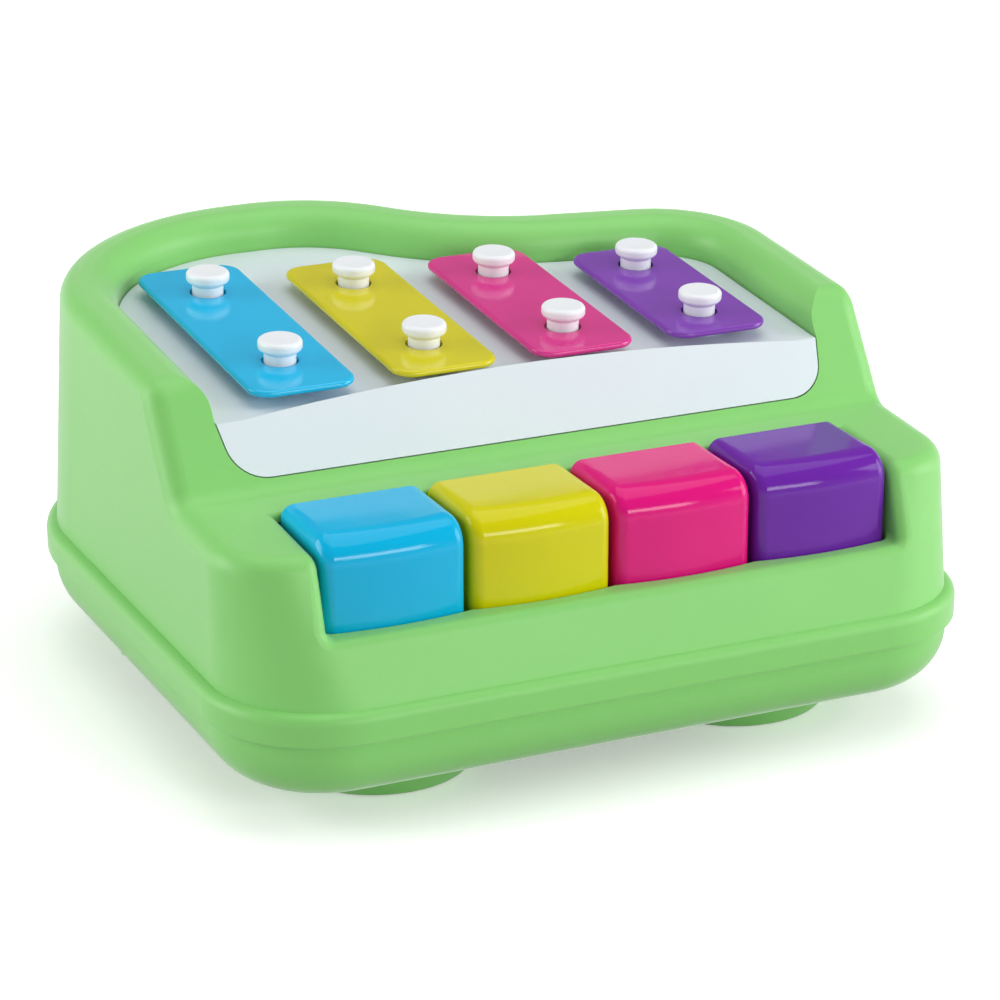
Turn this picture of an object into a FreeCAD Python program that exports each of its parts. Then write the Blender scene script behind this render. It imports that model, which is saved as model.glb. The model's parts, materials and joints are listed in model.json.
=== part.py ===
"""Toy chime piano: moulded housing, four keys with hammers, four loose chime bars.

Millimetres. X runs along the keyboard, Y to the tail, Z up. The origin is on the
table, under the middle of the base.
"""
import FreeCAD, Part
import math
import os

from FreeCAD import Placement, Rotation, Vector

# Housing wall in plan
HALF_WIDTH = 113.0
FRONT_Y = -109.0
TAIL_Y = 109.0
FRONT_CORNER_R_LOW = 32.0
FRONT_CORNER_R_HIGH = 4.0
TAIL_R_LOW = 60.0
TAIL_R_HIGH = 78.0
HUMP_X = -8.0
HUMP_R = 57.0
WAIST_X = 29.8
WAIST_Y = 71.3
WAIST_R = 76.0
REAR_CORNER_Y = 57.2
REAR_CORNER_R = 36.0
FRONT_SLOPE = 70.0
WALL = 2.6

# Heights of the housing
FLOOR_Z = 10.0
PARTING_Z = 29.5
SHOULDER_Z = 38.8
WALL_TOP_Z = 128.0
FLANGE_OUT = 3.2
FLANGE_R = 3.0
TRAY_IN = 2.4
PARTING_R = 0.8
TRAY_R = 16.0
TONGUE_H = 5.0
TONGUE_T = 2.0
FIT = 0.3

# Sound panel, its sloping fascia and the rim round it
PANEL_Y = -33.6
PANEL_Z = 99.3
PANEL_TILT = 3.9
PANEL_T = 2.6
FASCIA_FOOT_Y = -46.5
FASCIA_FOOT_Z = 84.6
FASCIA_ANGLE = 56.0
FASCIA_CORNER_R = 12.0
FASCIA_TAPER = 3.0
PANEL_GAP = 0.4
LIP_IN = 7.5
LIP_RISE = 5.0
RIM_H = 11.2
RIM_W = 17.5
RIM_R_OUT = 6.0
RIM_R_IN = 8.0
ARM_R = 10.0
FRONT_ROUND = 3.0
FLARE_LIFT = 0.02
SHELF_W = 5.0
HOOK_W = 12.0
HOOK_T = 2.0
HOOK_BARB = 1.6
HOOK_GAP = 0.15
HOOK_PLACES = [20.0, 48.0]

# Cheeks and ledge beside and behind the keys
CHEEK_Y = -65.0
CHEEK_Z = 80.4
CHEEK_TILT = 3.3
CREASE_R = 7.0

# Keys, spread between the cheeks
KEY_COUNT = 4
CHEEK_W = 25.0
KEY_PITCH = 2 * (HALF_WIDTH - CHEEK_W) / KEY_COUNT
KEY_SPACE = 1.6
KEY_W = KEY_PITCH - KEY_SPACE
KEY_FRONT_Y = -97.0
KEY_BACK_Y = -64.4
KEY_TOP_Z = 83.0
KEY_FOOT_Z = 48.0
KEY_FRONT_R = 8.5
KEY_R = 4.0
KEY_BOW = 2.0
KEY_WALL = 2.4

# Well that the keys stand in
WELL_SIDE = 0.9
WELL_FRONT = 0.8
WELL_BACK = 1.0
WELL_CORNER_R = 4.0
WELL_MOUTH_R = 2.0
WELL_EDGE_R = 3.5
WELL_BACK_R = 1.2
KEYSLIP_Z = 56.6
SKIRT_H = 4.0

# Key levers, axle and hammers
AXLE_Y = -30.0
AXLE_Z = 62.0
AXLE_R = 2.0
AXLE_RUN = 0.06
AXLE_SEAT = 0.03
HUB_R = 5.5
HUB_GAP = 0.5
KEY_PRESS = 8.0
LEVER_W = 14.0
LEVER_ABOVE = 4.0
LEVER_BELOW = 10.0
REAR_ARM_W = 9.0
REAR_ARM_H = 9.0
STOP_Y = -58.5
STOP_D = 6.0
HAMMER_Y = 10.0
HAMMER_HEAD_R = 4.5
STRIKE_GAP = 0.3
HAMMER_STEM_R = 3.0
HAMMER_SEAT = 12.0
HAMMER_BOSS_R = 6.0
HAMMER_BOSS_H = 10.0
HAMMER_ROOM = 0.9
HAMMER_FIT = 0.08
BRACKET_T = 4.0
BRACKET_TOP_R = 6.5
BRACKET_FLAT = 1.0
BRACKET_FOOT = 26.0
CAP_R = 4.5
CAP_T = 3.5
CAP_GAP = 0.2

# Felts and return springs
FELT_T = 2.2
FELT_GAP = 0.2
FELT_EDGE = 1.0
DIP_FELT_D = 7.0
SPRING_Y = -51.0
SPRING_R = 5.0
SPRING_WIRE = 1.2
SPRING_TURNS = 5
SPRING_SEAT_Z = 24.0
SPRING_PIN_R = 3.4
SPRING_PIN_H = 6.0
SPRING_GAP = 0.1

# Chime bars, from the longest to the shortest
BAR_L_BLUE = 103.0
BAR_L_YELLOW = 93.0
BAR_L_PINK = 86.0
BAR_L_PURPLE = 74.0
BAR_LENGTHS = {"blue": BAR_L_BLUE, "yellow": BAR_L_YELLOW, "pink": BAR_L_PINK, "purple": BAR_L_PURPLE}
BAR_SPACE = 11.6
BAR_W = KEY_PITCH - BAR_SPACE
BAR_T = 2.1
BAR_LIFT = 3.4
BAR_CORNER_R = 6.5
BAR_EDGE_R = 1.0
BAR_NODE = 0.212
BAR_HOLE_R = 5.5
BAR_SETBACK = 1.0

# Pins and washers that carry the bars
PIN_R = 4.7
PIN_H = 8.8
PIN_TAPER = 0.7
PIN_HEAD_R = 6.5
PIN_HEAD_T = 3.6
PIN_EDGE_R = 1.3
PIN_DISH = 0.3
PIN_STEM_R = 3.0
PIN_STEM_L = 8.0
PIN_BOSS_R = 5.2
PIN_SEAT = 0.05
WASHER_R = 7.6
WASHER_GAP = 0.1

# Feet and screws
FOOT_R = 27.5
FOOT_FLARE = 5.0
FOOT_EDGE_R = 1.5
FOOT_SIDE_IN = 55.7
FOOT_FRONT_IN = 50.8
FOOT_REAR_IN = 37.2
FOOT_TAIL_IN = 51.0
SCREW_R = 1.5
SCREW_HEAD_R = 3.2
SCREW_HEAD_T = 2.4
SCREW_CROSS_L = 3.6
SCREW_CROSS_W = 0.9
SCREW_CROSS_H = 1.1
SCREW_L = 15.0
SCREW_BOSS_R = 4.5
SCREW_SEAT_Z = 24.0
SCREW_WEB = 3.0
SCREW_RUN = 0.1
SCREW_ROOM = 1.0
SCREW_WALL_IN = 11.4
SCREW_SIDE_Y = 18.0
SCREW_CORNER_IN = 16.0
SCREW_FRONT_IN = 34.0
SCREW_TAIL_X = 38.0

FAR = 160.0
TOUCH = 0.001
UPWARD = 0.45


def key_xs():
    """Middle of each key, from the left"""
    return [(i - (KEY_COUNT - 1) / 2) * KEY_PITCH for i in range(KEY_COUNT)]


def foot_places():
    """Middle of each foot: two at the front, one behind the bars, one under the tail"""
    side = HALF_WIDTH - FOOT_SIDE_IN
    front = FRONT_Y + FOOT_FRONT_IN
    rear, tail = REAR_CORNER_Y - FOOT_REAR_IN, TAIL_Y - FOOT_TAIL_IN
    return [(-side, front), (side, front), (side, rear), (-side, tail)]


def screw_places():
    """Screws that join the tray to the housing, close inside its wall"""
    corner = HALF_WIDTH - SCREW_CORNER_IN
    front = FRONT_Y + SCREW_FRONT_IN
    side = HALF_WIDTH - SCREW_WALL_IN
    tail = (HUMP_X - SCREW_TAIL_X, TAIL_Y - SCREW_WALL_IN)
    return [(-corner, front), (corner, front), (side, SCREW_SIDE_Y), (-side, SCREW_SIDE_Y), tail]


def tan(angle):
    return math.tan(math.radians(angle))


def pressed(y, z):
    """Where a point of a key lies when the key is fully down"""
    turn = math.radians(KEY_PRESS)
    ahead, up = y - AXLE_Y, z - AXLE_Z
    return (AXLE_Y + ahead * math.cos(turn) - up * math.sin(turn),
            AXLE_Z + ahead * math.sin(turn) + up * math.cos(turn))


def head_z():
    """Height of the hammer head's middle, so that the pressed key stops it just below its bar"""
    turn, tilt = math.radians(KEY_PRESS), math.radians(PANEL_TILT)
    reach = HAMMER_Y - AXLE_Y
    rise = BAR_LIFT - HAMMER_HEAD_R - STRIKE_GAP
    rise -= (reach * math.sin(turn) + AXLE_Z - PANEL_Z) * math.cos(tilt)
    rise += (reach * math.cos(turn) + AXLE_Y - PANEL_Y) * math.sin(tilt)
    return AXLE_Z + rise / math.cos(turn - tilt)


def panel_z(y, above=0.0):
    """Height of the panel's top face at y, or of a plane that far above it"""
    return PANEL_Z + (y - PANEL_Y) * tan(PANEL_TILT) + above / math.cos(math.radians(PANEL_TILT))


def cheek_z(y, above=0.0):
    """Height of the cheek tops and ledge at y, or of a plane that far above them"""
    return CHEEK_Z + (y - CHEEK_Y) * tan(CHEEK_TILT) + above / math.cos(math.radians(CHEEK_TILT))


def fascia_z(y):
    return FASCIA_FOOT_Z + (y - FASCIA_FOOT_Y) * tan(FASCIA_ANGLE)


def crossing(line_a, line_b):
    """y and z where two straight height functions of y meet"""
    rise_a = line_a(1.0) - line_a(0.0)
    rise_b = line_b(1.0) - line_b(0.0)
    y = (line_b(0.0) - line_a(0.0)) / (rise_a - rise_b)
    return y, line_a(y)


def inset_corners(corners, inset):
    """A counter-clockwise outline of (u, v, radius) corners, moved inwards"""
    moved = []
    for i, (u, v, radius) in enumerate(corners):
        here = Vector(u, v, 0)
        before = Vector(*corners[i - 1][:2], 0)
        after = Vector(*corners[(i + 1) % len(corners)][:2], 0)
        way_in = (here - before).normalize()
        way_out = (after - here).normalize()
        normal_in = Vector(-way_in.y, way_in.x, 0)
        normal_out = Vector(-way_out.y, way_out.x, 0)
        step = (normal_in + normal_out) * (inset / (1.0 + normal_in.dot(normal_out)))
        turns_left = way_in.cross(way_out).z > 0
        new_radius = radius - inset if turns_left else radius + inset
        moved.append((u + step.x, v + step.y, max(new_radius, 0.0) if radius else 0.0))
    return moved


def rounded_wire(corners, place):
    """Closed wire of lines and tangent arcs; place turns (u, v) into a point"""
    edges = []
    ends = []
    for i, (u, v, radius) in enumerate(corners):
        here = Vector(u, v, 0)
        back = (Vector(*corners[i - 1][:2], 0) - here).normalize()
        ahead = (Vector(*corners[(i + 1) % len(corners)][:2], 0) - here).normalize()
        if radius == 0.0:
            ends.append((here, None, here))
            continue
        half = back.getAngle(ahead) / 2
        reach = radius / math.tan(half)
        bisector = (back + ahead).normalize()
        middle = here + bisector * (radius / math.sin(half) - radius)
        ends.append((here + back * reach, middle, here + ahead * reach))
    for i, (start, middle, end) in enumerate(ends):
        if middle is not None:
            edges.append(Part.Arc(*(place(p.x, p.y) for p in (start, middle, end))).toShape())
        following = ends[(i + 1) % len(ends)][0]
        if end.distanceToPoint(following) > 1e-6:
            edges.append(Part.makeLine(place(end.x, end.y), place(following.x, following.y)))
    return Part.Wire(edges)


def flat_prism(corners, z_low, z_high):
    """Upright prism on a plan outline"""
    wire = rounded_wire(corners, lambda u, v: Vector(u, v, z_low))
    return Part.Face(wire).extrude(Vector(0, 0, z_high - z_low))


def side_prism(corners, half_width):
    """Prism along X on a (y, z) outline"""
    wire = rounded_wire(corners, lambda u, v: Vector(-half_width, u, v))
    return Part.Face(wire).extrude(Vector(2 * half_width, 0, 0))


def box(x, y, z):
    """Box from three (low, high) pairs"""
    size = [pair[1] - pair[0] for pair in (x, y, z)]
    return Part.makeBox(*size, Vector(x[0], y[0], z[0]))


def post(x, y, z_low, z_high, radius):
    return Part.makeCylinder(radius, z_high - z_low, Vector(x, y, z_low))


def rod(x_low, x_high, y, z, radius):
    """Cylinder along X"""
    return Part.makeCylinder(radius, x_high - x_low, Vector(x_low, y, z), Vector(1, 0, 0))


def tilted(shape, angle, y, z):
    """A shape drawn on the level plane, turned about X and set at y, z"""
    placed = shape.copy()
    placed.Placement = Placement(Vector(0, y, z), Rotation(Vector(1, 0, 0), angle))
    return placed


def on_panel(shape):
    return tilted(shape, PANEL_TILT, PANEL_Y, PANEL_Z)


def on_fascia(shape):
    return tilted(shape, FASCIA_ANGLE, FASCIA_FOOT_Y, FASCIA_FOOT_Z)


def tail_room():
    """Largest tail radius that leaves the hump its arc"""
    turn = math.atan2(TAIL_Y - WAIST_Y, WAIST_X - HUMP_X)
    return HUMP_X + HALF_WIDTH - HUMP_R * math.tan(turn / 2)


def plan_corners(z):
    """Outline of the housing wall at height z: the front leans back, its corners and the tail change"""
    up = z - SHOULDER_Z
    front = FRONT_Y + up / tan(FRONT_SLOPE)
    share = up / (WALL_TOP_Z - SHOULDER_Z)
    front_r = FRONT_CORNER_R_LOW + (FRONT_CORNER_R_HIGH - FRONT_CORNER_R_LOW) * share
    tail_r = min(TAIL_R_LOW + (TAIL_R_HIGH - TAIL_R_LOW) * share, tail_room() - TOUCH)
    return [
        (-HALF_WIDTH, front, front_r),
        (HALF_WIDTH, front, front_r),
        (HALF_WIDTH, REAR_CORNER_Y, REAR_CORNER_R),
        (WAIST_X, WAIST_Y, WAIST_R),
        (HUMP_X, TAIL_Y, HUMP_R),
        (-HALF_WIDTH, TAIL_Y, tail_r),
    ]


def profile_corners():
    """Side profile of the housing's top: cheeks, crease, slope, arm end and rim"""
    rim = lambda y: panel_z(y, RIM_H)
    arm_end = crossing(fascia_z, rim)
    crease = crossing(fascia_z, cheek_z)
    return [
        (-FAR, 0.0, 0.0),
        (FAR, 0.0, 0.0),
        (FAR, rim(FAR), 0.0),
        (*arm_end, ARM_R),
        (*crease, CREASE_R),
        (-FAR, cheek_z(-FAR), 0.0),
    ]


def is_top(face, point):
    """True where a face of the housing looks up rather than sideways"""
    u, v = face.Surface.parameter(point)
    return abs(face.normalAt(u, v).z) > UPWARD


def shoulder_edges(block, z_low):
    """Edges between the walls and the upper faces"""
    chosen = []
    for edge in block.Edges:
        low, high = edge.ParameterRange
        middle = edge.valueAt((low + high) / 2)
        if middle.z < z_low + WALL:
            continue
        sides = block.ancestorsOfType(edge, Part.Face)
        if len({is_top(face, middle) for face in sides}) == 2:
            chosen.append(edge)
    return chosen


def housing_block(inset):
    """Outer form of the housing above its shoulder, or that form moved inwards"""
    sections = []
    for z in (SHOULDER_Z, WALL_TOP_Z):
        corners = inset_corners(plan_corners(z), inset)
        sections.append(rounded_wire(corners, lambda u, v, z=z: Vector(u, v, z)))
    walls = Part.makeLoft(sections, True, True)
    block = walls.common(side_prism(inset_corners(profile_corners(), inset), FAR))
    return block.makeFillet(RIM_R_OUT - inset, shoulder_edges(block, SHOULDER_Z))


def opening_corners(inset):
    """Plan outline of the sound panel's opening, from the fascia's ridge to the tail"""
    corners = inset_corners(plan_corners(PANEL_Z), RIM_W + inset)
    ridge_y, _ = crossing(fascia_z, panel_z)
    for i in (0, 1):
        corners[i] = (corners[i][0], ridge_y + inset, FRONT_ROUND)
    return corners


def ridge_u():
    """Length of the fascia, from its foot up to the ridge"""
    ridge_y, _ = crossing(fascia_z, panel_z)
    return (ridge_y - FASCIA_FOOT_Y) / math.cos(math.radians(FASCIA_ANGLE))


def fascia_window(inset, depth):
    """Prism through the sloping fascia, narrower at its foot and rounded at its lower corners"""
    half = HALF_WIDTH - RIM_W - inset
    foot = half - FASCIA_TAPER
    top = 2 * RIM_W
    radius = FASCIA_CORNER_R - inset
    corners = [(-foot, inset, radius), (foot, inset, radius), (half, ridge_u(), 0.0), (half, top, 0.0),
               (-half, top, 0.0), (-half, ridge_u(), 0.0)]
    return on_fascia(flat_prism(corners, -depth, top))


def under_panel(drop):
    """Everything below the panel and fascia, or that far below their outer faces"""
    ridge = crossing(fascia_z, panel_z)
    corners = [
        (FASCIA_FOOT_Y - FAR, fascia_z(FASCIA_FOOT_Y - FAR), 0.0),
        (FAR, -2 * FAR, 0.0),
        (FAR, panel_z(FAR), 0.0),
        (*ridge, 0.0),
    ]
    return side_prism(inset_corners(corners, drop), FAR)


def rim_pocket(grow):
    """Tool that sinks the panel into the housing, flared to round the rim's inner edge"""
    lift = FLARE_LIFT - grow

    def rim_z(y):
        return panel_z(y, RIM_H + lift)

    z_range = (PANEL_Z - RIM_W, WALL_TOP_Z + RIM_W)
    core = flat_prism(opening_corners(-grow), *z_range)
    above_rim = [(-FAR, rim_z(-FAR), 0.0), (FAR, rim_z(FAR), 0.0), (FAR, FAR, 0.0), (-FAR, FAR, 0.0)]
    slab = flat_prism(opening_corners(-2 * RIM_W), *z_range).common(side_prism(above_rim, FAR))
    tool = core.fuse(slab)
    seam = []
    for edge in tool.Edges:
        middle = edge.valueAt(sum(edge.ParameterRange) / 2)
        on_rim = abs(middle.z - rim_z(middle.y)) < TOUCH
        if on_rim and core.distToShape(Part.Vertex(middle))[0] < TOUCH:
            seam.append(edge)
    flared = tool.makeFillet(RIM_R_IN - grow, seam)
    return flared.fuse(fascia_window(-grow, 3 * PANEL_T)).cut(under_panel(PANEL_T + grow))


def flange_corners(inset):
    return inset_corners(plan_corners(SHOULDER_Z), inset - FLANGE_OUT)


def inner_corners(inset):
    """Outline of the housing's inner wall at its foot, moved inwards"""
    return inset_corners(plan_corners(SHOULDER_Z), WALL + inset)


def flange():
    """Lip round the foot of the housing, with a rounded shoulder"""
    ring = flat_prism(flange_corners(0.0), PARTING_Z, SHOULDER_Z)
    shoulder = [e for e in ring.Edges if e.BoundBox.ZMin > SHOULDER_Z - TOUCH]
    ring = ring.makeFillet(FLANGE_R, shoulder)
    ring = ring.makeFillet(PARTING_R, [e for e in ring.Edges if e.BoundBox.ZMax < PARTING_Z + TOUCH])
    return ring.cut(flat_prism(inner_corners(0.0), 0.0, FAR))


def well_back():
    return KEY_BACK_Y + WELL_BACK


def bowed_front(corner, tip_y):
    """Arcs between the corners, each with its tip in the middle"""
    arcs = []
    for left, right in zip(corner, corner[1:]):
        tip = Vector((left.x + right.x) / 2, tip_y, left.z)
        arcs.append(Part.Arc(left, tip, right).toShape())
    return arcs


def key_well(grow):
    """Shaft that follows the keys' bowed fronts, with a mouth to the front above the keyslip"""
    half = key_row_width() / 2 + WELL_SIDE + grow
    tip_y = KEY_FRONT_Y - WELL_FRONT - grow
    front, back = tip_y + KEY_BOW, well_back()
    foot_z, top = SHOULDER_Z, WALL_TOP_Z
    corners = [Vector(x, front, foot_z) for x in [-half] + bracket_xs()[1:-1] + [half]]
    rear = [Vector(half, back, foot_z), Vector(-half, back, foot_z)]
    sides = Part.makePolygon([corners[-1]] + rear + [corners[0]])
    outline = Part.Wire(bowed_front(corners, tip_y) + sides.Edges)
    shaft = Part.Face(outline).extrude(Vector(0, 0, top - foot_z))
    upright = [e for e in shaft.Edges if e.BoundBox.ZLength > TOUCH and e.BoundBox.YMax < front + TOUCH]
    at_side = [e for e in upright if abs(abs(e.BoundBox.XMin) - half) < TOUCH]
    shaft = shaft.makeFillet(WELL_CORNER_R, at_side)
    slip_z, radius = KEYSLIP_Z - grow, WELL_MOUTH_R + grow
    face = [(-half, slip_z, radius), (half, slip_z, radius), (half, top, 0.0), (-half, top, 0.0)]
    wire = rounded_wire(face, lambda u, v: Vector(u, -FAR, v))
    mouth = Part.Face(wire).extrude(Vector(0, FAR + front + 2 * WELL_CORNER_R, 0))
    return shaft.fuse(mouth).removeSplitter()


def seam_edges(shape, first, second):
    """Edges of a shape that lie on the surfaces of two others"""
    chosen = []
    for edge in shape.Edges:
        middle = Part.Vertex(edge.valueAt(sum(edge.ParameterRange) / 2))
        if all(solid.Shells[0].distToShape(middle)[0] < TOUCH for solid in (first, second)):
            chosen.append(edge)
    return chosen


def with_key_well(block):
    """The housing's outer form with the keys' well sunk in it and its edges rounded"""
    well = key_well(0.0)
    sunk = block.cut(well)
    at_back = lambda e: e.BoundBox.YMin > well_back() - TOUCH
    at_foot = lambda e: e.BoundBox.ZMin < SHOULDER_Z + WALL
    fore = [e for e in seam_edges(sunk, block, well) if not at_back(e) and not at_foot(e)]
    rounded = sunk.makeFillet(WELL_EDGE_R, fore)
    back = [e for e in seam_edges(rounded, block, well) if at_back(e)]
    return rounded.makeFillet(WELL_BACK_R, back)


def well_skirt():
    """Room for the walls that hang down round the well's sides and front"""
    return key_well(WALL).common(box((-FAR, FAR), (-FAR, well_back()), (KEYSLIP_Z - SKIRT_H, WALL_TOP_Z)))


def screw_bosses(outer):
    """Posts inside the housing that the base screws bite into"""
    room = outer.fuse(flat_prism(inner_corners(0.0), SCREW_SEAT_Z, SHOULDER_Z + WALL))
    posts = [post(x, y, SCREW_SEAT_Z, WALL_TOP_Z, SCREW_BOSS_R) for x, y in screw_places()]
    return [p.common(room) for p in posts]


def upper_shell():
    outer = with_key_well(housing_block(0.0)).cut(rim_pocket(0.0))
    inner = housing_block(WALL).cut([rim_pocket(WALL), well_skirt()])
    shell = outer.cut(inner).fuse([flange()] + screw_bosses(outer))
    deck_window = flat_prism(opening_corners(SHELF_W), PANEL_Z - RIM_W, WALL_TOP_Z)
    fascia_hole = fascia_window(SHELF_W, 3 * PANEL_T)
    pilot_top = SCREW_SEAT_Z - SCREW_WEB + SCREW_L + SCREW_ROOM
    pilots = [post(x, y, SCREW_SEAT_Z, pilot_top, SCREW_R + SCREW_RUN) for x, y in screw_places()]
    return shell.cut([deck_window, fascia_hole] + pilots)


def foot(x, y):
    """Short round pad that flares into the tray's floor"""
    pad = Part.makeCone(FOOT_R, FOOT_R + FOOT_FLARE, FLOOR_Z + WALL / 2, Vector(x, y, 0))
    rest_edge = [e for e in pad.Edges if e.BoundBox.ZMax < TOUCH]
    return pad.makeFillet(FOOT_EDGE_R, rest_edge)


def foot_room(x, y):
    """Hollow of a foot, open to the inside of the tray"""
    return Part.makeCone(FOOT_R - WALL, FOOT_R + FOOT_FLARE - WALL, FLOOR_Z, Vector(x, y, WALL))


def bowl_block(inset):
    """Rounded block of the tray, or its inside"""
    floor_z = FLOOR_Z + inset
    block = flat_prism(flange_corners(TRAY_IN + inset), floor_z, PARTING_Z)
    floor_edges = [e for e in block.Edges if e.BoundBox.ZMax < floor_z + TOUCH]
    return block.makeFillet(TRAY_R - inset, floor_edges)


def tray_bowl(feet):
    """Rounded bowl with hollow feet, a ledge and a tongue that locates it in the housing"""
    block = bowl_block(0.0)
    block = block.makeFillet(PARTING_R, [e for e in block.Edges if e.BoundBox.ZMin > PARTING_Z - TOUCH])
    bowl = block.fuse(feet).cut([bowl_block(WALL)] + [foot_room(x, y) for x, y in foot_places()])
    ledge = block.common(box((-FAR, FAR), (-FAR, FAR), (PARTING_Z - WALL, PARTING_Z)))
    tongue = flat_prism(inner_corners(FIT), PARTING_Z - WALL, PARTING_Z + TONGUE_H)
    return bowl.fuse([ledge, tongue]).cut(flat_prism(inner_corners(FIT + TONGUE_T), FLOOR_Z + TRAY_R, FAR))


def bracket_xs():
    return [(i - KEY_COUNT / 2) * KEY_PITCH for i in range(KEY_COUNT + 1)]


def axle_bracket(x):
    """Tapered upright with a round top that carries the axle"""
    top = AXLE_Z + BRACKET_TOP_R
    half_foot = BRACKET_FOOT / 2
    corners = [
        (AXLE_Y - half_foot, WALL / 2, 0.0),
        (AXLE_Y + half_foot, WALL / 2, 0.0),
        (AXLE_Y + BRACKET_TOP_R, top, BRACKET_TOP_R - BRACKET_FLAT),
        (AXLE_Y - BRACKET_TOP_R, top, BRACKET_TOP_R - BRACKET_FLAT),
    ]
    upright = side_prism(corners, BRACKET_T / 2).translate(Vector(x, 0, 0))
    return upright.cut(rod(x - BRACKET_T, x + BRACKET_T, AXLE_Y, AXLE_Z, AXLE_R + AXLE_SEAT))


def key_row_width():
    return 2 * key_xs()[-1] + KEY_W


def dip_rib():
    """Cross wall that carries the felt under the key fronts"""
    half = key_row_width() / 2
    y, z = pressed(KEY_FRONT_Y, KEY_FOOT_Z)
    y_range = (y - KEY_WALL / 2, y - KEY_WALL / 2 + DIP_FELT_D)
    return box((-half, half), y_range, (WALL / 2, z - 2 * FELT_GAP - FELT_T))


def base_tray():
    within = WALL / 2
    feet = [foot(x, y) for x, y in foot_places()]
    below_floor = box((-FAR, FAR), (-FAR, FAR), (0.0, FLOOR_Z + within)).cut(feet)
    additions = [axle_bracket(x) for x in bracket_xs()]
    additions.append(dip_rib())
    for x in key_xs():
        additions.append(post(x, SPRING_Y, within, SPRING_SEAT_Z, SPRING_R + SPRING_WIRE))
        additions.append(post(x, SPRING_Y, within, SPRING_SEAT_Z + SPRING_PIN_H, SPRING_PIN_R))
    for x, y in screw_places():
        additions.append(post(x, y, within, SCREW_SEAT_Z, SCREW_HEAD_R + SCREW_ROOM + WALL / 2))
    tray = tray_bowl(feet).fuse([piece.cut(below_floor) for piece in additions])
    holes = []
    for x, y in screw_places():
        holes.append(post(x, y, 0.0, SCREW_SEAT_Z - SCREW_WEB, SCREW_HEAD_R + SCREW_ROOM / 2))
        holes.append(post(x, y, 0.0, SCREW_SEAT_Z, SCREW_R + SCREW_RUN))
    return tray.cut(holes)


def base_screws():
    """Pan-headed screws, from below through the tray into the housing"""
    seat = SCREW_SEAT_Z - SCREW_WEB
    screws = []
    for x, y in screw_places():
        head = post(x, y, seat - SCREW_HEAD_T, seat, SCREW_HEAD_R)
        rim = [e for e in head.Edges if e.BoundBox.ZMax < seat - SCREW_HEAD_T + TOUCH]
        head = head.makeFillet(SCREW_HEAD_T / 2, rim)
        half_l, half_w = SCREW_CROSS_L / 2, SCREW_CROSS_W / 2
        depth = (seat - 2 * SCREW_HEAD_T, seat - SCREW_HEAD_T + SCREW_CROSS_H)
        for dx, dy in ((half_l, half_w), (half_w, half_l)):
            head = head.cut(box((x - dx, x + dx), (y - dy, y + dy), depth))
        screws.append(head.fuse(post(x, y, seat, seat + SCREW_L, SCREW_R)))
    return screws


def pin_places():
    """x and distance up the panel of each pin, two at the nodes of each bar"""
    places = []
    for x, length in zip(key_xs(), BAR_LENGTHS.values()):
        for share in (BAR_NODE, 1.0 - BAR_NODE):
            places.append((x, BAR_SETBACK + share * length))
    return places


def hammer_slot(x):
    """Slot in the panel that a hammer head rises and swings through"""
    half = HAMMER_HEAD_R + HAMMER_ROOM
    front = pressed(HAMMER_Y, head_z())[0] - half
    back = HAMMER_Y + half
    corners = [(x - half, front, half / 2), (x + half, front, half / 2), (x + half, back, half / 2),
               (x - half, back, half / 2)]
    return flat_prism(corners, PANEL_Z - RIM_W, PANEL_Z + RIM_W)


def snap_hook(side, s):
    """Hook under the panel's edge that snaps below the housing's shelf"""
    edge = HALF_WIDTH - RIM_W - SHELF_W - FIT
    under = -PANEL_T - WALL - HOOK_GAP
    leg_x = sorted((side * edge, side * (edge - HOOK_T)))
    barb_x = sorted((side * (edge + HOOK_BARB), side * (edge - HOOK_T)))
    s_range = (s - HOOK_W / 2, s + HOOK_W / 2)
    leg = box(leg_x, s_range, (under - HOOK_T, -PANEL_T / 2))
    return on_panel(leg.fuse(box(barb_x, s_range, (under - HOOK_T, under))))


def fascia_lip():
    """Low arch that the fascia ends in, standing above the panel"""
    ridge = ridge_u()
    half = HALF_WIDTH - RIM_W - LIP_IN
    ends = [Vector(side * half, ridge, -PANEL_T) for side in (-1, 1)]
    feet = [Vector(side * half, ridge - PANEL_T, -PANEL_T) for side in (1, -1)]
    crown = Part.Arc(ends[0], Vector(0, ridge + LIP_RISE, -PANEL_T), ends[1]).toShape()
    sides = Part.makePolygon([ends[1], feet[0], feet[1], ends[0]])
    face = Part.Face(Part.Wire([crown] + sides.Edges))
    return on_fascia(face.extrude(Vector(0, 0, PANEL_T)))


def soundboard():
    core = flat_prism(opening_corners(PANEL_GAP), PANEL_Z - RIM_W, WALL_TOP_Z)
    plate = core.fuse(fascia_window(PANEL_GAP, 3 * PANEL_T))
    plate = plate.common(under_panel(0.0).cut(under_panel(PANEL_T)))
    additions = [fascia_lip()]
    for x, s in pin_places():
        additions.append(on_panel(post(x, s, -PIN_STEM_L, -PANEL_T / 2, PIN_BOSS_R)))
    additions += [snap_hook(side, s) for side in (-1, 1) for s in HOOK_PLACES]
    holes = [hammer_slot(x) for x in key_xs()]
    for x, s in pin_places():
        holes.append(on_panel(post(x, s, -2 * PIN_STEM_L, RIM_H, PIN_STEM_R + PIN_SEAT)))
    return plate.fuse(additions).cut(holes)


def turned(corners, x, s):
    """Solid of revolution about a pin's axis from an (r, h) outline"""
    wire = rounded_wire(corners, lambda u, v: Vector(x + u, s, v))
    return on_panel(Part.Face(wire).revolve(Vector(x, s, 0), Vector(0, 0, 1), 360))


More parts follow.
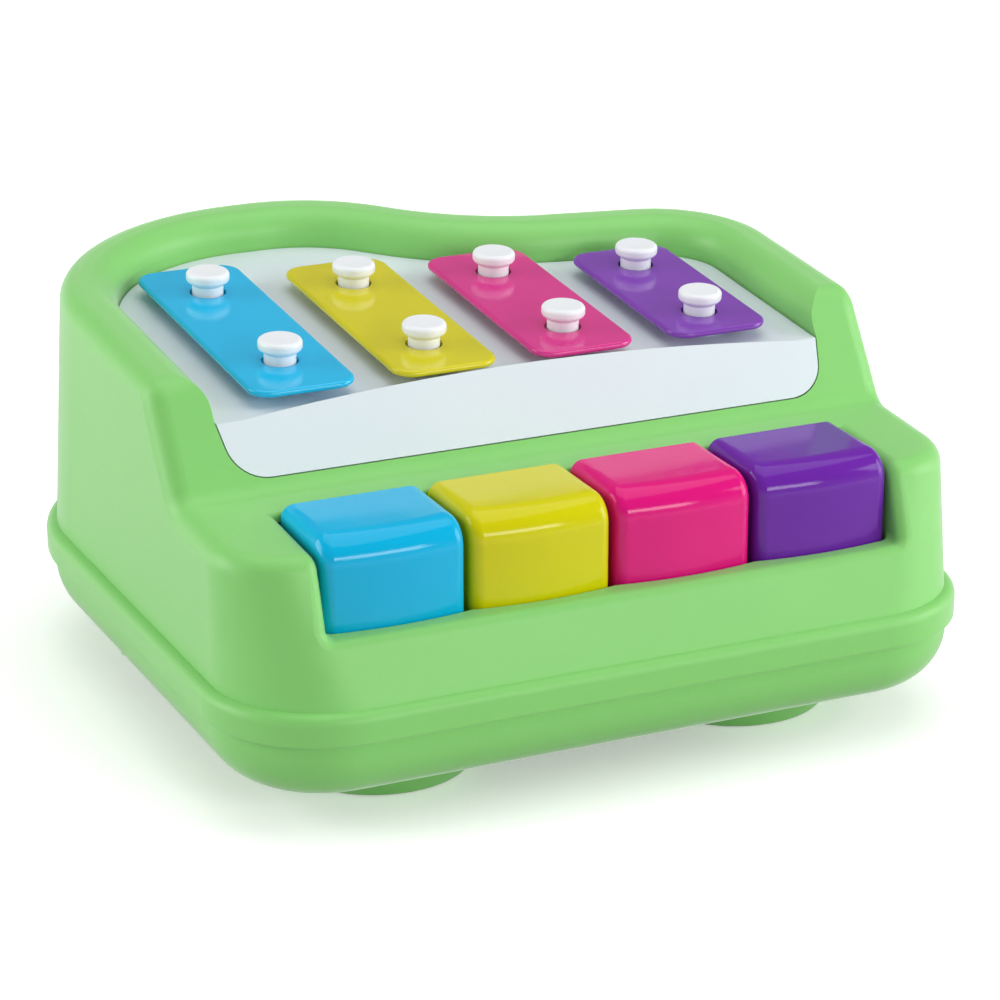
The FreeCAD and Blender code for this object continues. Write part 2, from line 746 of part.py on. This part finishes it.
def bar_pins():
    """Mushroom-headed pins that hold the bars loosely"""
    top = PIN_H + PIN_HEAD_T
    outline = [
        (0.0, -PIN_STEM_L, 0.0),
        (PIN_STEM_R, -PIN_STEM_L, 0.0),
        (PIN_STEM_R, 0.0, 0.0),
        (PIN_R, 0.0, 0.0),
        (PIN_R, PIN_H - PIN_TAPER, 0.0),
        (PIN_HEAD_R, PIN_H + PIN_TAPER, PIN_EDGE_R),
        (PIN_HEAD_R, top, PIN_EDGE_R),
        (0.0, top - PIN_DISH, 0.0),
    ]
    return [turned(outline, x, s) for x, s in pin_places()]


def bar_washers():
    """Soft rings that the bars rest on"""
    outline = [
        (PIN_R + FIT, 0.0, 0.0),
        (WASHER_R, 0.0, 0.0),
        (WASHER_R, BAR_LIFT - WASHER_GAP, 0.0),
        (PIN_R + FIT, BAR_LIFT - WASHER_GAP, 0.0),
    ]
    return [turned(outline, x, s) for x, s in pin_places()]


def chime_bar(x, length):
    """Flat bar with rounded corners and edges and a hole at each node"""
    half = BAR_W / 2
    near, far = BAR_SETBACK, BAR_SETBACK + length
    corners = [(x - half, near, BAR_CORNER_R), (x + half, near, BAR_CORNER_R),
               (x + half, far, BAR_CORNER_R), (x - half, far, BAR_CORNER_R)]
    bar = flat_prism(corners, BAR_LIFT, BAR_LIFT + BAR_T)
    bar = bar.makeFillet(BAR_EDGE_R, [e for e in bar.Edges if e.BoundBox.ZLength < TOUCH])
    for share in (BAR_NODE, 1.0 - BAR_NODE):
        bar = bar.cut(post(x, near + share * length, 0.0, RIM_H, BAR_HOLE_R))
    return on_panel(bar)


def key_block(x, inset, z_low):
    """Rounded block of a key cap, or its inside"""
    half = KEY_W / 2 - inset
    front, back = KEY_FRONT_Y + inset, KEY_BACK_Y - inset
    left, right = (Vector(x + side * half, front + KEY_BOW, z_low) for side in (-1, 1))
    bow = Part.Arc(left, Vector(x, front, z_low), right).toShape()
    sides = Part.makePolygon([right, Vector(right.x, back, z_low), Vector(left.x, back, z_low), left])
    block = Part.Face(Part.Wire([bow] + sides.Edges)).extrude(Vector(0, 0, KEY_TOP_Z - inset - z_low))
    on_front_top = lambda e: e.BoundBox.YMax < front + 2 * KEY_BOW and e.BoundBox.ZMin > z_low + TOUCH
    block = block.makeFillet(KEY_FRONT_R - inset, [e for e in block.Edges if on_front_top(e)])
    flanks = []
    for edge in block.Edges:
        bounds = edge.BoundBox
        at_side = bounds.XLength < TOUCH
        at_rear = bounds.YMin > back - TOUCH
        if at_side and not at_rear and bounds.ZMax > z_low + TOUCH:
            flanks.append(edge)
    return block.makeFillet(KEY_R - inset, flanks)


def lever_foot_z():
    return AXLE_Z - LEVER_BELOW


def boss_top_z():
    return AXLE_Z + HAMMER_BOSS_H


def key_stop(x):
    """Horn on the lever that meets the felt under the ledge"""
    drop = -WALL - FELT_T - FELT_GAP
    front, back = STOP_Y - STOP_D / 2, STOP_Y + STOP_D / 2
    corners = [(front, lever_foot_z(), 0.0), (back, lever_foot_z(), 0.0), (back, cheek_z(back, drop), 0.0),
               (front, cheek_z(front, drop), 0.0)]
    return side_prism(corners, LEVER_W / 2).translate(Vector(x, 0, 0))


def key(x):
    """Hollow cap with its lever, hub and hammer boss, moulded in one"""
    cap = key_block(x, 0.0, KEY_FOOT_Z).cut(key_block(x, KEY_WALL, KEY_FOOT_Z - WALL))
    half = LEVER_W / 2
    lever_z = (lever_foot_z(), AXLE_Z + LEVER_ABOVE)
    lever = box((x - half, x + half), (KEY_BACK_Y - KEY_WALL / 2, AXLE_Y), lever_z)
    hub_half = KEY_PITCH / 2 - BRACKET_T / 2 - HUB_GAP
    hub = rod(x - hub_half, x + hub_half, AXLE_Y, AXLE_Z, HUB_R)
    arm_half = REAR_ARM_W / 2
    arm_z = (AXLE_Z - REAR_ARM_H / 2, AXLE_Z + REAR_ARM_H / 2)
    arm = box((x - arm_half, x + arm_half), (AXLE_Y, HAMMER_Y), arm_z)
    boss = post(x, HAMMER_Y, arm_z[0], boss_top_z(), HAMMER_BOSS_R)
    body = cap.fuse([lever, key_stop(x), hub, arm, boss])
    bore = rod(x - KEY_PITCH, x + KEY_PITCH, AXLE_Y, AXLE_Z, AXLE_R + AXLE_RUN)
    seat_z = boss_top_z() - HAMMER_SEAT
    seat = post(x, HAMMER_Y, seat_z, WALL_TOP_Z, HAMMER_STEM_R + HAMMER_FIT)
    return body.cut([bore, seat])


def hammer(x):
    """Upright striker with a round head, seated in the lever's boss"""
    seat_z = boss_top_z() - HAMMER_SEAT
    neck_z = head_z() - 2 * HAMMER_HEAD_R
    stem = post(x, HAMMER_Y, seat_z, neck_z, HAMMER_STEM_R)
    neck = Part.makeCone(HAMMER_STEM_R, HAMMER_HEAD_R, head_z() - neck_z, Vector(x, HAMMER_Y, neck_z))
    dome = Part.makeSphere(HAMMER_HEAD_R, Vector(x, HAMMER_Y, head_z()), Vector(0, 0, 1), 0, 90, 360)
    return stem.fuse([neck, dome])


def axle_end():
    return bracket_xs()[-1] + BRACKET_T / 2 + CAP_GAP + CAP_T / 2


def key_axle():
    return rod(-axle_end(), axle_end(), AXLE_Y, AXLE_Z, AXLE_R)


def axle_caps():
    """Push-on caps that keep the axle in its brackets"""
    caps = []
    inner = axle_end() - CAP_T / 2
    for side in (-1, 1):
        low, high = sorted((side * inner, side * (inner + CAP_T)))
        cap = rod(low, high, AXLE_Y, AXLE_Z, CAP_R)
        caps.append(cap.cut(rod(-axle_end(), axle_end(), AXLE_Y, AXLE_Z, AXLE_R)))
    return caps


def rest_felt():
    """Strip under the ledge that the keys come up against"""
    half = key_row_width() / 2
    front, back = STOP_Y - STOP_D / 2 - FELT_EDGE, STOP_Y + STOP_D / 2 + FELT_EDGE
    low, high = -WALL - FELT_T, -WALL
    corners = [(front, cheek_z(front, low), 0.0), (back, cheek_z(back, low), 0.0),
               (back, cheek_z(back, high), 0.0), (front, cheek_z(front, high), 0.0)]
    return side_prism(corners, half)


def dip_felt():
    """Strip on the cross wall that stops a pressed key"""
    rib = dip_rib().BoundBox
    return box((rib.XMin, rib.XMax), (rib.YMin, rib.YMax), (rib.ZMax, rib.ZMax + FELT_T))


def biarc(start, start_way, end, end_way):
    """Two tangent arcs from one point and direction to another"""
    span = end - start
    ways = start_way + end_way
    spread = 2.0 * (1.0 - start_way.dot(end_way))
    reach = (math.sqrt(span.dot(ways) ** 2 + spread * span.dot(span)) - span.dot(ways)) / spread
    first, last = start + start_way * reach, end - end_way * reach
    joint = (first + last) * 0.5
    arcs = []
    for tip, tail, control in ((start, joint, first), (joint, end, last)):
        middle = (tip + tail) * 0.5
        half = tip.distanceToPoint(tail) / 2
        bend = math.acos(half / reach)
        crown = middle + (control - middle).normalize() * (half * math.tan(bend / 2))
        arcs.append(Part.Arc(tip, crown, tail).toShape())
    return arcs


def return_spring(x):
    """Coil between the tray's seat and the underside of a lever"""
    coil_r = SPRING_R - SPRING_WIRE / 2
    low = SPRING_SEAT_Z + SPRING_GAP + SPRING_WIRE / 2
    high = lever_foot_z() - SPRING_GAP - SPRING_WIRE / 2
    pitch = (high - low) / SPRING_TURNS

    def point(turn):
        angle = 2 * math.pi * turn
        return Vector(x + coil_r * math.cos(angle), SPRING_Y + coil_r * math.sin(angle), low + pitch * turn)

    def way(turn):
        angle = 2 * math.pi * turn
        across = 2 * math.pi * coil_r
        return Vector(-across * math.sin(angle), across * math.cos(angle), pitch).normalize()

    arcs = []
    for half_turn in range(2 * SPRING_TURNS):
        a, b = half_turn / 2, (half_turn + 1) / 2
        arcs += biarc(point(a), way(a), point(b), way(b))
    section = Part.Wire(Part.makeCircle(SPRING_WIRE / 2, point(0), way(0)))
    return Part.Wire(arcs).makePipeShell([section], True, False)


def export(name, solids):
    """Write one sub-part, a single solid or a group of them"""
    shapes = solids if isinstance(solids, list) else solids.Solids
    whole = shapes[0] if len(shapes) == 1 else Part.makeCompound(shapes)
    whole.exportStep(f"parts/{name}.step")


def main():
    os.makedirs("parts", exist_ok=True)
    export("upper_shell", upper_shell())
    export("base_tray", base_tray())
    export("soundboard", soundboard())
    export("bar_pins", bar_pins())
    export("bar_washers", bar_washers())
    export("key_axle", key_axle())
    export("axle_caps", axle_caps())
    export("rest_felt", rest_felt())
    export("dip_felt", dip_felt())
    export("base_screws", base_screws())
    for x, (colour, length) in zip(key_xs(), BAR_LENGTHS.items()):
        export(f"chime_bar_{colour}", chime_bar(x, length))
        export(f"key_{colour}", key(x))
        export(f"hammer_{colour}", hammer(x))
        export(f"spring_{colour}", return_spring(x))


main()
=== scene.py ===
"""Looks of the toy chime piano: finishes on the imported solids, felts, springs, light and camera."""
import json
import math

import bpy
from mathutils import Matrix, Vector

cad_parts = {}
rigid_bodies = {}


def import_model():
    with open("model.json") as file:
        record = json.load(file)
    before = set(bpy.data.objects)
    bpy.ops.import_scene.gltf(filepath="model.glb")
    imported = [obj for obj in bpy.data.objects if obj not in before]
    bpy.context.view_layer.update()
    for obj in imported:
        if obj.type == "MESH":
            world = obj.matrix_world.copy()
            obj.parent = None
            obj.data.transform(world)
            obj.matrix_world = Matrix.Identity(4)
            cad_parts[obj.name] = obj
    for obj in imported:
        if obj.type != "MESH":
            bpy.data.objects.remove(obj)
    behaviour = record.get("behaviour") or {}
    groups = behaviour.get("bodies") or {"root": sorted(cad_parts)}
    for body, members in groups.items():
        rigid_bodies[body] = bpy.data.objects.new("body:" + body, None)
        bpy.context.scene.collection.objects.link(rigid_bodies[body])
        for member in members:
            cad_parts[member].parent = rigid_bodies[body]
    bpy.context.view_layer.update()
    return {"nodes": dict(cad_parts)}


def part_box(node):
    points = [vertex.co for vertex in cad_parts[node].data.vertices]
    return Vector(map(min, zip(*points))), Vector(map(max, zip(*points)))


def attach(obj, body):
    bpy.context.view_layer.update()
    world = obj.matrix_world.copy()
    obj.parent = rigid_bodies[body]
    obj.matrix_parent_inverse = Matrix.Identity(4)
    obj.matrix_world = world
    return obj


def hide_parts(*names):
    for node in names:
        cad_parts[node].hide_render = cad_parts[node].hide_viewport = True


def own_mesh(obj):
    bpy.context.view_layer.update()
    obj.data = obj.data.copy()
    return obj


bpy.ops.object.select_all(action="SELECT")
bpy.ops.object.delete()
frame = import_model()

MM = 0.001
COLOURS = ("blue", "yellow", "pink", "purple")

# Camera, found from the housing, keys and bars in the photograph
CAMERA_AZIMUTH = -24.58
CAMERA_ELEVATION = 20.21
CAMERA_DISTANCE = 1086 * MM
CAMERA_TARGET = Vector((3.58, -10.6, 52.8)) * MM
CAMERA_LENS = 130.7
SENSOR = 36.0

# Softboxes: place and size in metres, and power in watts. They all face one point
LAMP_TARGET = (0.0, 0.0, 0.06)
LAMPS = {
    "top_softbox": ((0.1, 0.1, 1.3), (1.4, 1.2), 7.4),
    "left_softbox": ((-1.25, 0.5, 0.5), (0.9, 0.9), 10.6),
    "right_softbox": ((1.3, -0.6, 0.55), (0.9, 0.9), 11.0),
    "front_softbox": ((0.33, -1.37, 0.54), (0.7, 0.26), 5.6),
}

# How bright the room is low down and overhead, and the sines of the heights between which it fades
HORIZON = 1.0
ZENITH = 0.3
FADE_FROM = 0.05
FADE_TO = 0.35

# Floor: size, drop and reach in metres, its shade for bounced and for seen light, and its glow
FLOOR_SIZE = 12.0
FLOOR_DROP = 0.2 * MM
FLOOR_BOUNCE = 0.48
FLOOR_SEEN = 1.0
FLOOR_GLOW = 0.28
FLOOR_FAR_GLOW = 1.0
FLOOR_NEAR = 0.3
FLOOR_FAR = 1.2

# Felts, in millimetres, then how their meshes are cut up and roughened
FELT_T = 2.2
FELT_INSET = 0.1
FELT_ROUND = 0.5
FELT_FLUFF = 0.07
FELT_MARK = 0.12
FELT_PIECE = 1.2
LEDGE_TILT = 3.3
LEVER_W = 14.0
FELT_ROUND_STEPS = 3
FELT_CUTS_LONG = 100
FELT_CUTS_WIDE = 10
FELT_OUTWARD = 0.7
FELT_SEED = 7

# Return springs: wire thickness and welding distance in millimetres, then the turns, the steps on each turn
# and the sides around the wire
SPRING_WIRE = 1.2
SPRING_WELD = 0.01
SPRING_TURNS = 5
SPRING_STEPS = 36
SPRING_SIDES = 14

# Colours as sRGB hex
HOUSING_GREEN = "86D070"
HOUSING_GREEN_DEEP = "80CA69"
PANEL_WHITE = "DEE8ED"
PANEL_WHITE_DEEP = "D9E3E9"
PIN_WHITE = "EEF1F4"
PIN_WHITE_DEEP = "EAEEF2"
RUBBER_GREY = "D4D9DA"
STEEL_GREY = "B9BCBE"
FELT_GREY = "6E7276"
FELT_GREY_DEEP = "55595D"
NYLON_WHITE = "DCDFDD"
BAR_COLOURS = {
    "blue": ("02BAEA", "04B4E4"),
    "yellow": ("D6CE02", "D0C600"),
    "pink": ("D8328C", "D22C86"),
    "purple": ("803EB2", "7A36AC"),
}
KEY_COLOURS = {
    "blue": ("00B4E2", "00AEDC"),
    "yellow": ("D4D000", "CEC800"),
    "pink": ("E2127E", "DA0C78"),
    "purple": ("6E24A6", "66209E"),
}


def linear(hex_colour):
    """sRGB hex to linear red, green, blue and alpha"""
    values = []
    for i in (0, 2, 4):
        share = int(hex_colour[i:i + 2], 16) / 255
        values.append(share / 12.92 if share <= 0.04045 else ((share + 0.055) / 1.055) ** 2.4)
    return (*values, 1.0)


def per_mm(size):
    """Scale of a pattern whose features are that many millimetres across"""
    return 1.0 / (size * MM)


def add(tree, kind, inputs, **settings):
    """One node: its settings, then each input as a value or a link from another node's output"""
    made = tree.nodes.new(kind)
    for name, value in settings.items():
        setattr(made, name, value)
    for name, value in inputs.items():
        if isinstance(value, bpy.types.NodeSocket):
            tree.links.new(value, made.inputs[name])
        else:
            made.inputs[name].default_value = value
    return made


def bare_material(name):
    """Material with an empty node tree"""
    material = bpy.data.materials.new(name)
    material.use_nodes = True
    material.node_tree.nodes.clear()
    return material, material.node_tree


def new_material(name):
    """Material with its shader and the object's own coordinates"""
    material, tree = bare_material(name)
    shader = add(tree, "ShaderNodeBsdfPrincipled", {})
    add(tree, "ShaderNodeOutputMaterial", {"Surface": shader.outputs["BSDF"]})
    place = add(tree, "ShaderNodeTexCoord", {}).outputs["Object"]
    return material, tree, shader, place


def two_tone(tree, shader, place, colours, size):
    """Soft cloud of two near colours, as pigment settles in a moulding or a coat"""
    cloud = add(tree, "ShaderNodeTexNoise", {"Vector": place, "Scale": per_mm(size), "Detail": 3.0})
    mix = add(tree, "ShaderNodeMix",
              {0: cloud.outputs["Fac"], 6: linear(colours[0]), 7: linear(colours[1])}, data_type="RGBA")
    tree.links.new(mix.outputs[2], shader.inputs["Base Color"])


def bumped(tree, shader, place, size, height, detail=2.0):
    """Fine unevenness of that size and height, both in millimetres"""
    grain = add(tree, "ShaderNodeTexNoise", {"Vector": place, "Scale": per_mm(size), "Detail": detail})
    bump = add(tree, "ShaderNodeBump",
               {"Height": grain.outputs["Fac"], "Distance": height * MM, "Strength": 1.0})
    tree.links.new(bump.outputs["Normal"], shader.inputs["Normal"])
    return grain


def rough_between(tree, shader, grain, low, high):
    """Roughness that follows a pattern"""
    span = add(tree, "ShaderNodeMapRange", {"Value": grain.outputs["Fac"], "To Min": low, "To Max": high})
    tree.links.new(span.outputs["Result"], shader.inputs["Roughness"])


def moulded_polypropylene():
    """Satin green moulding: spark-eroded mould grain, drawn at 0.9 mm to show, breaks up the gloss"""
    material, tree, shader, place = new_material("moulded_polypropylene_green")
    two_tone(tree, shader, place, (HOUSING_GREEN, HOUSING_GREEN_DEEP), size=45.0)
    grain = bumped(tree, shader, place, size=0.9, height=0.03)
    rough_between(tree, shader, grain, low=0.38, high=0.5)
    shader.inputs["IOR"].default_value = 1.49
    shader.inputs["Sheen Weight"].default_value = 0.7
    shader.inputs["Sheen Roughness"].default_value = 0.28
    shader.inputs["Subsurface Weight"].default_value = 0.08
    shader.inputs["Subsurface Radius"].default_value = (0.5, 1.0, 0.35)
    shader.inputs["Subsurface Scale"].default_value = 2.0 * MM
    return material


def moulded_abs_white():
    """Satin white panel, a little cooler than the pins, with a finer mould grain"""
    material, tree, shader, place = new_material("moulded_abs_white")
    two_tone(tree, shader, place, (PANEL_WHITE, PANEL_WHITE_DEEP), size=30.0)
    grain = bumped(tree, shader, place, size=0.8, height=0.02)
    rough_between(tree, shader, grain, low=0.34, high=0.46)
    shader.inputs["IOR"].default_value = 1.52
    return material


def acetal_white():
    """Slippery white pins with a soft gloss"""
    material, tree, shader, place = new_material("moulded_acetal_white")
    two_tone(tree, shader, place, (PIN_WHITE, PIN_WHITE_DEEP), size=6.0)
    grain = bumped(tree, shader, place, size=2.4, height=0.001)
    rough_between(tree, shader, grain, low=0.28, high=0.34)
    shader.inputs["IOR"].default_value = 1.48
    return material


def gloss_abs(colour):
    """Key cap from a polished mould: a mirror-like skin with faint long sink waves"""
    material, tree, shader, place = new_material(f"polished_abs_{colour}")
    two_tone(tree, shader, place, KEY_COLOURS[colour], size=25.0)
    bumped(tree, shader, place, size=16.0, height=0.05, detail=0.0)
    shader.inputs["Roughness"].default_value = 0.12
    shader.inputs["IOR"].default_value = 1.5
    shader.inputs["Specular IOR Level"].default_value = 0.25
    return material


def stove_enamel(colour):
    """Baked enamel on steel: even gloss with a slight orange peel about 2 mm across"""
    material, tree, shader, place = new_material(f"stove_enamel_{colour}")
    two_tone(tree, shader, place, BAR_COLOURS[colour], size=20.0)
    bumped(tree, shader, place, size=2.0, height=0.008, detail=1.0)
    shader.inputs["Roughness"].default_value = 0.1
    shader.inputs["IOR"].default_value = 1.52
    return material


def drawn_steel():
    """Drawn wire and rod: fine scratches, 0.4 mm apart, that run along the rod"""
    material, tree, shader, place = new_material("drawn_steel")
    shader.inputs["Base Color"].default_value = linear(STEEL_GREY)
    shader.inputs["Metallic"].default_value = 1.0
    stretched = add(tree, "ShaderNodeMapping", {"Vector": place, "Scale": (0.05, 1.0, 1.0)})
    grain = bumped(tree, shader, stretched.outputs["Vector"], size=0.4, height=0.01)
    rough_between(tree, shader, grain, low=0.24, high=0.42)
    return material


def pressed_felt():
    """Pressed wool felt: fibres, drawn at 0.7 mm, that scatter light and leave no gloss"""
    material, tree, shader, place = new_material("pressed_wool_felt")
    two_tone(tree, shader, place, (FELT_GREY, FELT_GREY_DEEP), size=1.4)
    bumped(tree, shader, place, size=0.7, height=0.25, detail=4.0)
    shader.inputs["Roughness"].default_value = 0.95
    shader.inputs["Sheen Weight"].default_value = 0.4
    return material


def soft_rubber():
    """Pale rubber rings: matt with a talc-like bloom"""
    material, tree, shader, place = new_material("soft_rubber_grey")
    two_tone(tree, shader, place, (RUBBER_GREY, PANEL_WHITE_DEEP), size=3.0)
    grain = bumped(tree, shader, place, size=0.6, height=0.02)
    rough_between(tree, shader, grain, low=0.7, high=0.85)
    return material


def natural_nylon():
    """Hammers: unpainted nylon, slightly waxy"""
    material, tree, shader, place = new_material("natural_nylon")
    two_tone(tree, shader, place, (NYLON_WHITE, RUBBER_GREY), size=8.0)
    grain = bumped(tree, shader, place, size=0.7, height=0.015)
    rough_between(tree, shader, grain, low=0.36, high=0.48)
    return material


def finish_node(node, material):
    """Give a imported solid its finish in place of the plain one"""
    slots = frame["nodes"][node].data.materials
    slots.clear()
    slots.append(material)


def finish_solids(steel):
    """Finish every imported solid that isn't redrawn"""
    green = moulded_polypropylene()
    nylon = natural_nylon()
    for node in ("upper_shell", "base_tray"):
        finish_node(node, green)
    for node in ("key_axle", "axle_caps", "base_screws"):
        finish_node(node, steel)
    finish_node("soundboard", moulded_abs_white())
    finish_node("bar_pins", acetal_white())
    finish_node("bar_washers", soft_rubber())
    for colour in COLOURS:
        finish_node(f"key_{colour}", gloss_abs(colour))
        finish_node(f"chime_bar_{colour}", stove_enamel(colour))
        finish_node(f"hammer_{colour}", nylon)


def pick_verts(mesh, wanted):
    """Select the points of a mesh in edit mode that a test picks"""
    bpy.ops.mesh.select_all(action="DESELECT")
    bpy.ops.object.mode_set(mode="OBJECT")
    for vert in mesh.vertices:
        vert.select = wanted(vert.co)
    bpy.ops.object.mode_set(mode="EDIT")


def cut_long_edges(mesh, axis, least, cuts):
    """Cut up the edges of a mesh in edit mode that run further than that along an axis"""
    bpy.ops.mesh.select_all(action="DESELECT")
    bpy.context.tool_settings.mesh_select_mode = (False, True, False)
    bpy.ops.object.mode_set(mode="OBJECT")
    for edge in mesh.edges:
        start, end = (mesh.vertices[i].co for i in edge.vertices)
        edge.select = abs(start[axis] - end[axis]) > least
    bpy.ops.object.mode_set(mode="EDIT")
    bpy.ops.mesh.subdivide(number_cuts=cuts)


def middle_x(node):
    """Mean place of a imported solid's points along the keyboard"""
    verts = frame["nodes"][node].data.vertices
    return sum(v.co.x for v in verts) / len(verts)


def felt_strip(node, lean, mark_side, felt):
    """Fluffy strip in the place of a plain felt solid, with a worn mark where each key meets it"""
    low, high = (Vector(corner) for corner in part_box(node))
    middle = (low + high) / 2
    inset = 2 * FELT_INSET * MM
    bpy.ops.object.select_all(action="DESELECT")
    bpy.ops.mesh.primitive_cube_add(size=1.0, location=middle, rotation=(math.radians(lean), 0.0, 0.0))
    strip = bpy.context.object
    strip.name = f"{node}_strip"
    strip.scale = (high.x - low.x - inset, high.y - low.y - inset, FELT_T * MM - inset)
    bpy.ops.object.transform_apply(location=True, rotation=True, scale=True)
    bpy.ops.object.mode_set(mode="EDIT")
    bpy.context.tool_settings.mesh_select_mode = (True, False, False)
    bpy.ops.mesh.select_all(action="SELECT")
    bpy.ops.mesh.bevel(offset=FELT_ROUND * MM, segments=FELT_ROUND_STEPS, affect="EDGES")
    cut_long_edges(strip.data, 0, (high.x - low.x) / 2, FELT_CUTS_LONG)
    cut_long_edges(strip.data, 0, FELT_PIECE * MM, 1)
    cut_long_edges(strip.data, 1, (high.y - low.y) / 2, FELT_CUTS_WIDE)
    bpy.context.tool_settings.mesh_select_mode = (True, False, False)
    key_xs = [middle_x(f"hammer_{colour}") for colour in COLOURS]
    rise = math.tan(math.radians(lean))

    def under_key(co):
        on_side = (co.z - middle.z - (co.y - middle.y) * rise) * mark_side > FELT_T * MM / 4
        return on_side and any(abs(co.x - x) < LEVER_W * MM / 2 for x in key_xs)

    pick_verts(strip.data, under_key)
    bpy.ops.transform.translate(value=(0.0, 0.0, -mark_side * FELT_MARK * MM))
    bpy.ops.mesh.select_all(action="SELECT")
    bpy.ops.transform.vertex_random(offset=FELT_FLUFF * MM, normal=FELT_OUTWARD, seed=FELT_SEED)
    bpy.ops.object.mode_set(mode="OBJECT")
    bpy.ops.object.shade_smooth()
    strip.data.materials.append(felt)
    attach(strip, "housing")
    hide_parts(node)


def coil_spring(colour, steel):
    """Wound wire spring in the place of the plain one, fixed to the housing"""
    low, high = (Vector(corner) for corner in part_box(f"spring_{colour}"))
    wire = SPRING_WIRE * MM
    coil_r = (high.x - low.x - wire) / 2
    bpy.ops.object.select_all(action="DESELECT")
    bpy.ops.mesh.primitive_circle_add(vertices=SPRING_SIDES, radius=wire / 2, location=(coil_r, 0.0, 0.0),
                                      rotation=(math.radians(90), 0.0, 0.0))
    spring = bpy.context.object
    spring.name = f"coil_spring_{colour}"
    bpy.ops.object.transform_apply(location=True, rotation=True, scale=True)
    winding = spring.modifiers.new("winding", "SCREW")
    winding.screw_offset = (high.z - low.z - wire) / SPRING_TURNS
    winding.iterations = SPRING_TURNS
    winding.steps = winding.render_steps = SPRING_STEPS
    bpy.ops.object.modifier_apply(modifier=winding.name)
    bpy.ops.object.mode_set(mode="EDIT")
    bpy.ops.mesh.select_all(action="SELECT")
    bpy.ops.mesh.remove_doubles(threshold=SPRING_WELD * MM)
    bpy.ops.mesh.fill_holes(sides=0)
    bpy.ops.mesh.select_all(action="SELECT")
    bpy.ops.mesh.normals_make_consistent(inside=False)
    bpy.ops.transform.translate(value=((low.x + high.x) / 2, (low.y + high.y) / 2, low.z + wire / 2))
    bpy.ops.object.mode_set(mode="OBJECT")
    bpy.ops.object.shade_smooth()
    spring.data.materials.append(steel)
    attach(spring, "housing")
    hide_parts(f"spring_{colour}")
    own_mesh(spring)


def camera():
    """Camera at the photograph's viewpoint"""
    azimuth, elevation = math.radians(CAMERA_AZIMUTH), math.radians(CAMERA_ELEVATION)
    back = Vector((math.sin(azimuth) * math.cos(elevation), -math.cos(azimuth) * math.cos(elevation),
                   math.sin(elevation)))
    bpy.ops.object.camera_add(location=CAMERA_TARGET + back * CAMERA_DISTANCE)
    made = bpy.context.object
    made.rotation_euler = (-back).to_track_quat("-Z", "Y").to_euler()
    made.data.lens = CAMERA_LENS
    made.data.sensor_width = SENSOR
    bpy.context.scene.camera = made


def softbox(name, place, size, power):
    """Rectangular lamp that faces the object"""
    way = Vector(LAMP_TARGET) - Vector(place)
    bpy.ops.object.light_add(type="AREA", location=place, rotation=way.to_track_quat("-Z", "Y").to_euler())
    lamp = bpy.context.object
    lamp.name = name
    lamp.data.shape = "RECTANGLE"
    lamp.data.size, lamp.data.size_y = size
    lamp.data.energy = power


def light():
    """Softboxes overhead, on both sides and in front, in a pale room that is brightest at the horizon"""
    for name, (place, size, power) in LAMPS.items():
        softbox(name, place, size, power)
    world = bpy.data.worlds.new("pale_room")
    bpy.context.scene.world = world
    world.use_nodes = True
    tree = world.node_tree
    tree.nodes.clear()
    way = add(tree, "ShaderNodeTexCoord", {}).outputs["Generated"]
    height = add(tree, "ShaderNodeSeparateXYZ", {"Vector": way}).outputs["Z"]
    strength = add(tree, "ShaderNodeMapRange", {"Value": height, "From Min": FADE_FROM, "From Max": FADE_TO,
                                                "To Min": HORIZON, "To Max": ZENITH})
    sky = add(tree, "ShaderNodeBackground",
              {"Color": (1.0, 1.0, 1.0, 1.0), "Strength": strength.outputs["Result"]})
    add(tree, "ShaderNodeOutputWorld", {"Surface": sky.outputs["Background"]})


def floor():
    """Pale sheet under the object: it keeps the shadow, and shows white where it is lit and far off"""
    bpy.ops.mesh.primitive_plane_add(size=FLOOR_SIZE, location=(0.0, 0.0, -FLOOR_DROP))
    sheet = bpy.context.object
    sheet.name = "floor"
    material, tree = bare_material("paper_white")
    rays = add(tree, "ShaderNodeLightPath", {}).outputs
    seen = rays["Is Camera Ray"]
    for kind in ("Is Glossy Ray", "Is Transmission Ray"):
        seen = add(tree, "ShaderNodeMath", {0: seen, 1: rays[kind]}, operation="MAXIMUM").outputs[0]
    shade = add(tree, "ShaderNodeMapRange", {"Value": seen, "To Min": FLOOR_BOUNCE, "To Max": FLOOR_SEEN})
    paper = add(tree, "ShaderNodeBsdfDiffuse", {"Color": shade.outputs["Result"]})
    spot = add(tree, "ShaderNodeTexCoord", {}).outputs["Object"]
    reach = add(tree, "ShaderNodeVectorMath", {0: spot}, operation="LENGTH").outputs["Value"]
    level = add(tree, "ShaderNodeMapRange", {"Value": reach, "From Min": FLOOR_NEAR, "From Max": FLOOR_FAR,
                                             "To Min": FLOOR_GLOW, "To Max": FLOOR_FAR_GLOW})
    lift = add(tree, "ShaderNodeMath", {0: seen, 1: level.outputs["Result"]}, operation="MULTIPLY")
    glow = add(tree, "ShaderNodeEmission", {"Strength": lift.outputs[0]})
    both = add(tree, "ShaderNodeAddShader", {0: paper.outputs[0], 1: glow.outputs[0]})
    add(tree, "ShaderNodeOutputMaterial", {"Surface": both.outputs[0]})
    sheet.data.materials.append(material)


drawn_wire = drawn_steel()
wool_felt = pressed_felt()
finish_solids(drawn_wire)
for key_colour in COLOURS:
    coil_spring(key_colour, drawn_wire)
felt_strip("rest_felt", LEDGE_TILT, -1, wool_felt)
felt_strip("dip_felt", 0.0, 1, wool_felt)
camera()
light()
floor()
bpy.context.scene.view_settings.view_transform = "Standard"
